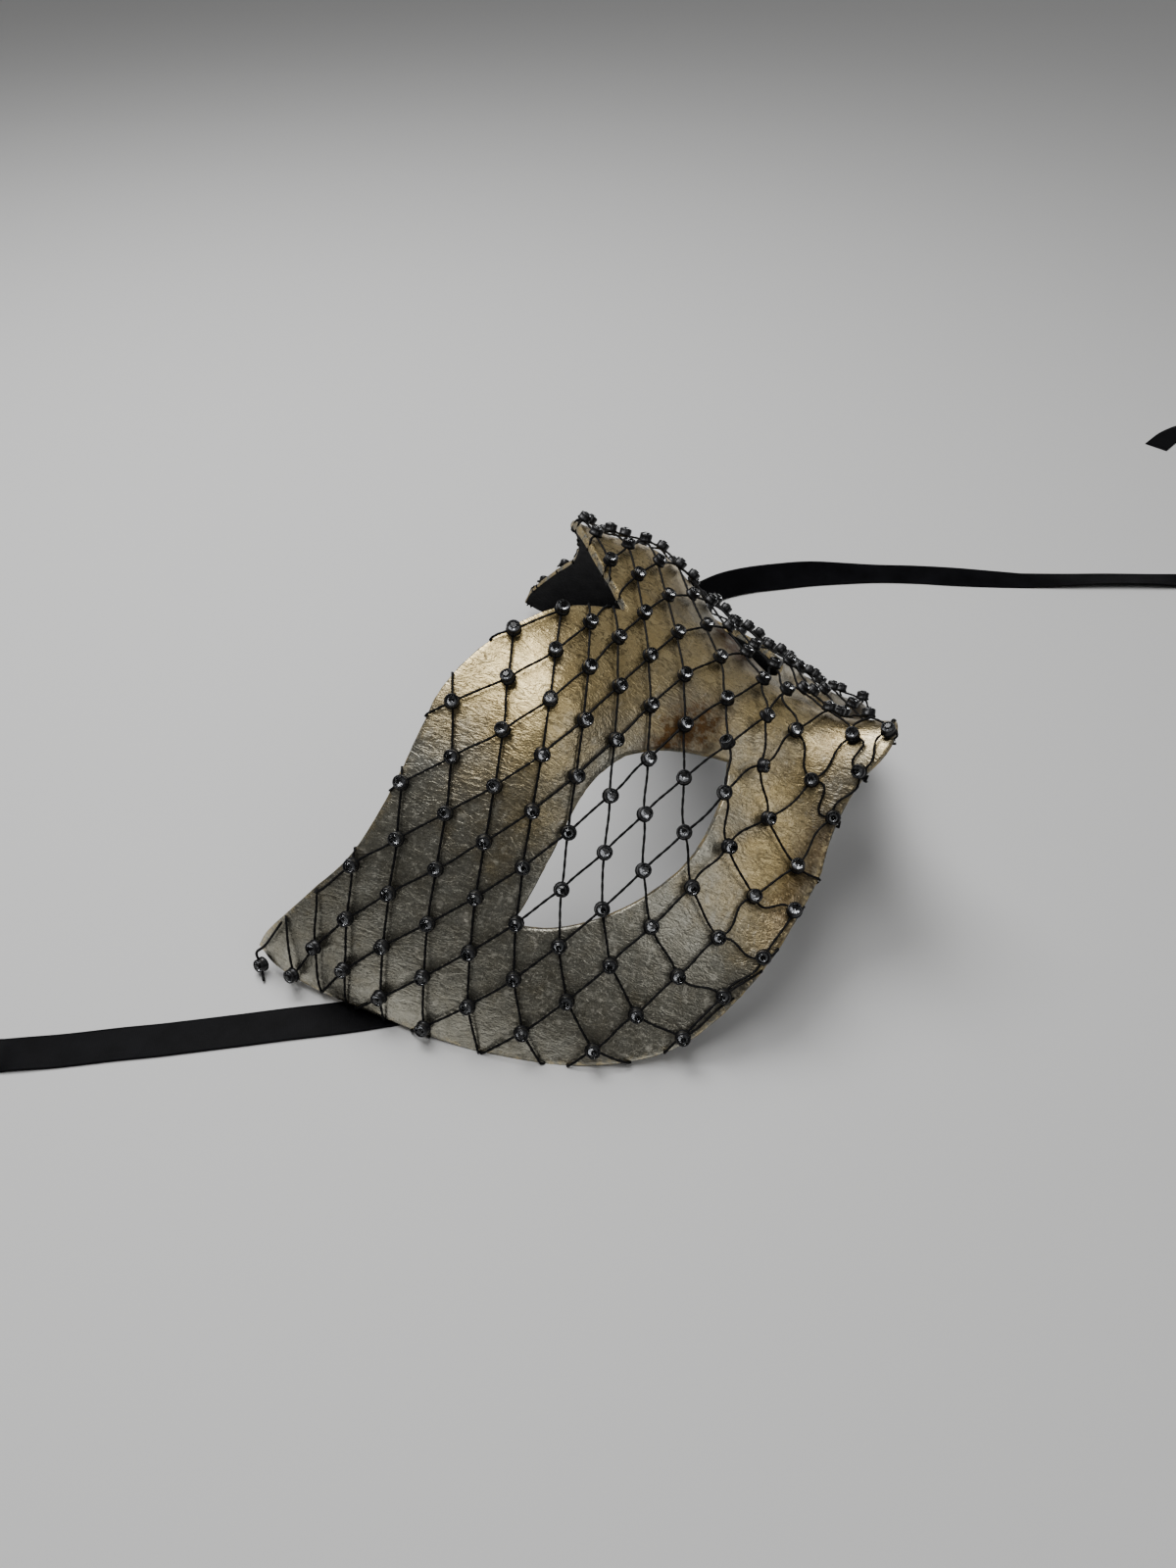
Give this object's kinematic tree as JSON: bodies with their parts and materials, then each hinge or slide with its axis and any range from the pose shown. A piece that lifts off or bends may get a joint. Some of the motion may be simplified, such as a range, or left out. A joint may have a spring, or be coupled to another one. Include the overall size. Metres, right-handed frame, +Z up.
{
  "type": "venetian mask",
  "caption": "Venetian half mask in antiqued silver and gold leaf, covered by a black net with crystals and fitted with two black satin ribbons, lying face up.",
  "frame": {"origin": "under the middle of the mask, on the surface that its rim rests on", "axes": "+X across the mask, to the right as one looks at its face, +Y from the nose towards the forehead, +Z up out of its face"},
  "size_m": [0.5409, 0.3638, 0.0793],
  "materials": {
    "leafed_shell": "papier-mache under antiqued silver and gold leaf, matt black inside",
    "net_and_crystals": "matt polyester thread, clear glass crystals in black cups",
    "satin_ribbon": "polyester satin with a soft sheen"
  },
  "bodies": {
    "root": {"mask_shell": "leafed_shell", "crystal_net": "net_and_crystals", "ribbon_left_tab": "satin_ribbon", "ribbon_left": "satin_ribbon", "ribbon_left_roll": "satin_ribbon", "ribbon_right_tab": "satin_ribbon", "ribbon_right": "satin_ribbon"}
  },
  "joints": []
}
